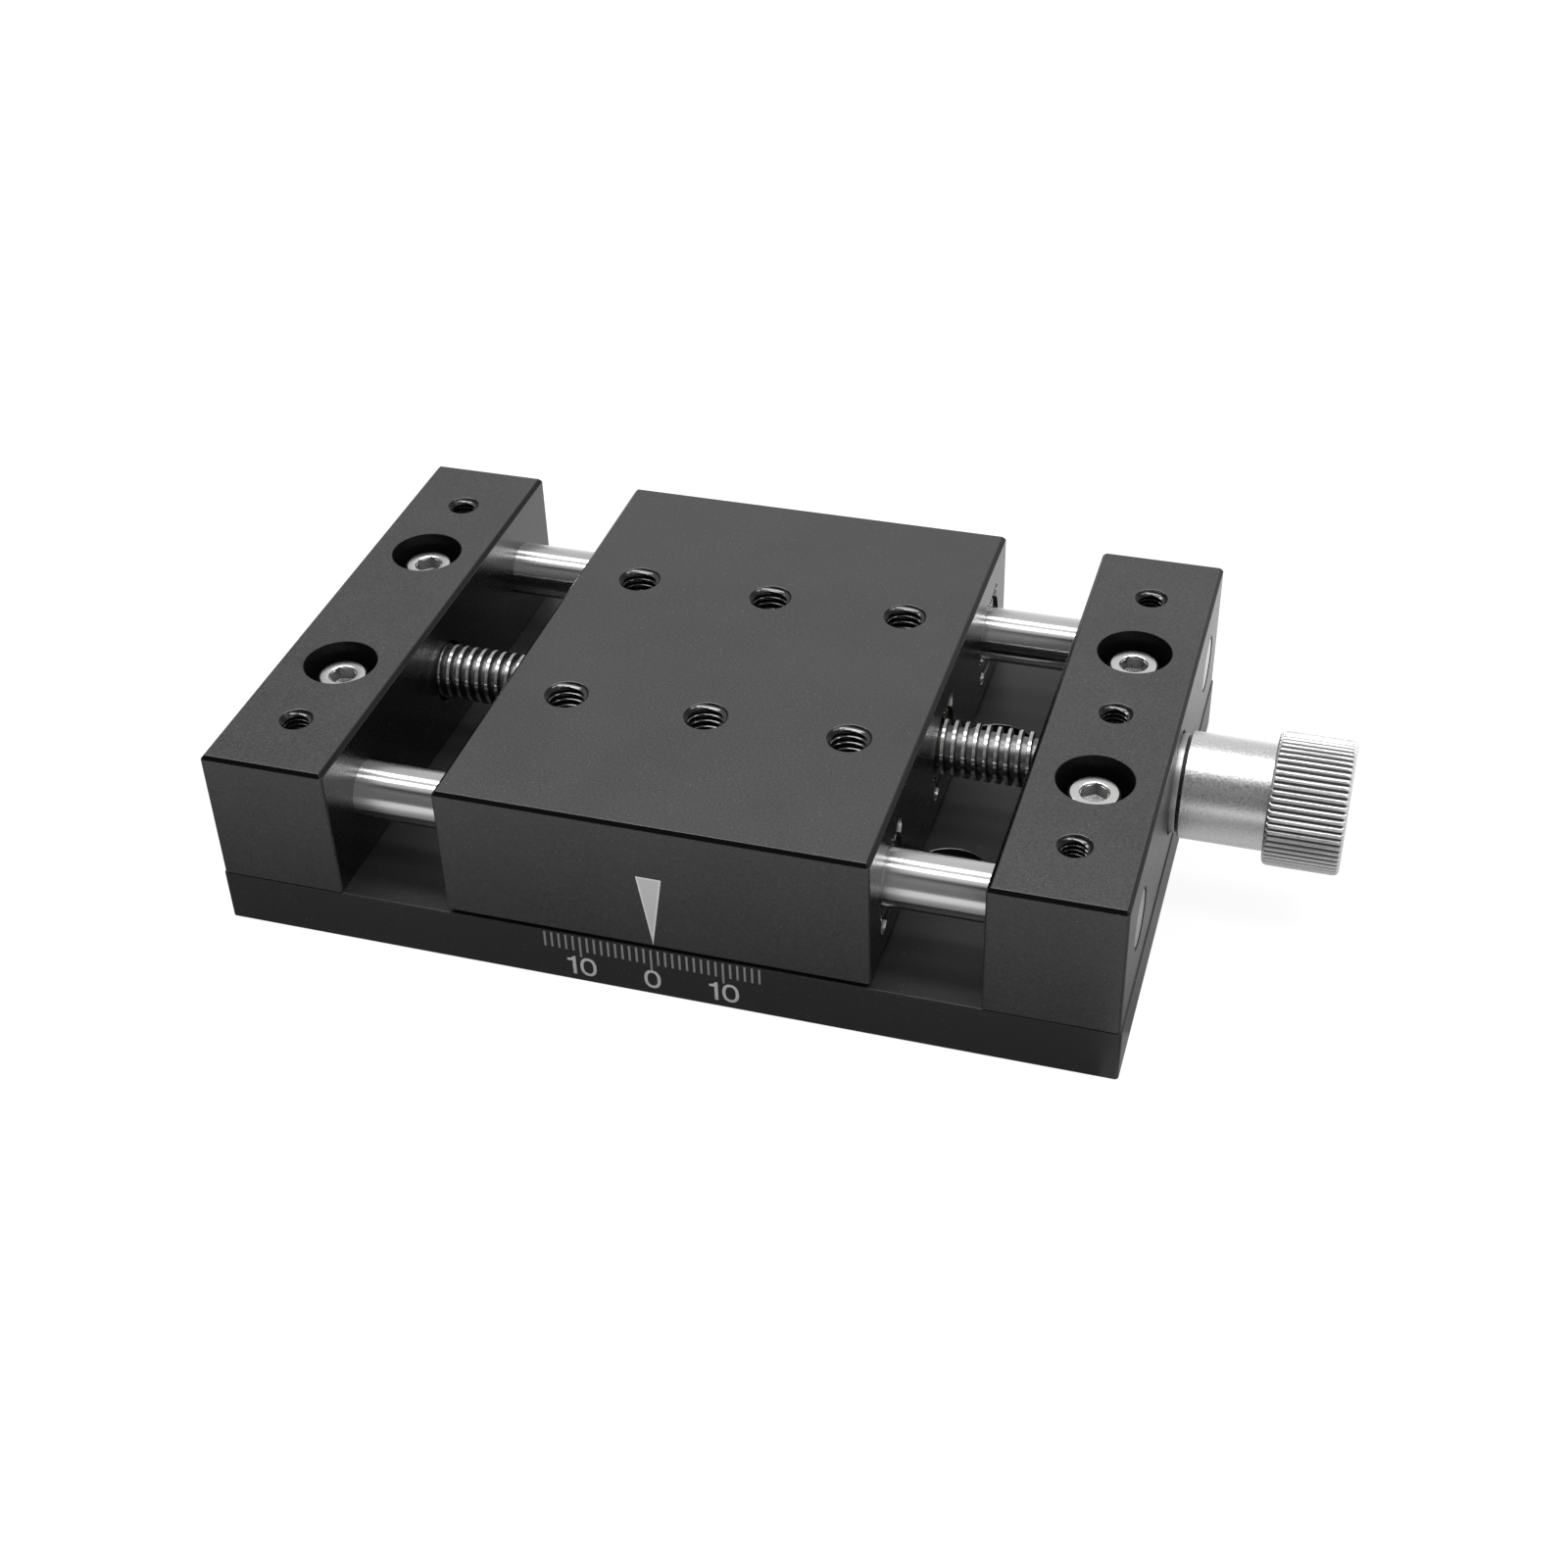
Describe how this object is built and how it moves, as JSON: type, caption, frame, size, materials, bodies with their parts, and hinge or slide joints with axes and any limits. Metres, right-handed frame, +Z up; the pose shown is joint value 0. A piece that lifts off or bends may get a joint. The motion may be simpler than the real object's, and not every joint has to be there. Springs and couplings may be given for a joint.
{
  "type": "lead screw linear stage",
  "caption": "Manual linear stage: a flat carriage slides on two round rails between end blocks on a base plate, moved by a lead screw with a knurled knob.",
  "frame": {"origin": "middle of the base plate's width on its underside, under the zero of the scale", "axes": "+X along the travel towards the knob, +Y across the stage away from the scale, +Z up"},
  "size_m": [0.1478, 0.08, 0.0285],
  "materials": {
    "black_anodised": "finely blasted and black anodised aluminium",
    "polished_rail": "ground and polished hardened steel",
    "rolled_screw": "bright rolled stainless steel",
    "plated_screws": "bright zinc plated steel",
    "black_screws": "black oxide steel",
    "bearing_steel": "ground bearing steel",
    "knob_aluminium": "bead blasted clear anodised aluminium",
    "bush_bronze": "oil soaked sintered bronze",
    "nut_brass": "turned brass",
    "black_washer": "black acetal",
    "soft_pad": "natural nylon",
    "mark_paint": "pale printed marks"
  },
  "bodies": {
    "frame": {"base_plate": "black_anodised", "idle_end_block": "black_anodised", "drive_end_block": "black_anodised", "rail_front": "polished_rail", "rail_rear": "polished_rail", "block_cap_screws": "plated_screws", "rail_clamp_screws": "black_screws", "brake_pad": "soft_pad", "brake_screw": "black_screws", "idle_bearing_outer": "bearing_steel", "inboard_bearing_outer": "bearing_steel", "outboard_bearing_outer": "bearing_steel"},
    "screw": {"lead_screw": "rolled_screw", "idle_bearing_inner": "bearing_steel", "inboard_bearing_inner": "bearing_steel", "outboard_bearing_inner": "bearing_steel", "thrust_collar": "bearing_steel", "friction_washer": "black_washer", "knob": "knob_aluminium", "knob_set_screw": "black_screws"},
    "carriage": {"carriage": "black_anodised", "bush_front_idle": "bush_bronze", "bush_front_drive": "bush_bronze", "bush_rear_idle": "bush_bronze", "bush_rear_drive": "bush_bronze", "lead_nut": "nut_brass", "bush_key_screws": "plated_screws", "nut_key_screws": "plated_screws"}
  },
  "joints": [
    {"name": "screw_turn", "type": "hinge", "parent": "frame", "child": "screw", "pos_m": [0, 0, 0.018], "axis": [1, 0, 0], "range_deg": [-3481, 3721]},
    {"name": "carriage_slide", "type": "slide", "parent": "frame", "child": "carriage", "axis": [1, 0, 0], "range_m": [-0.0155, 0.0145]}
  ],
  "couplings": [
    {"joint": "screw_turn", "follows": "carriage_slide", "rad_per_m": -4188.8}
  ]
}
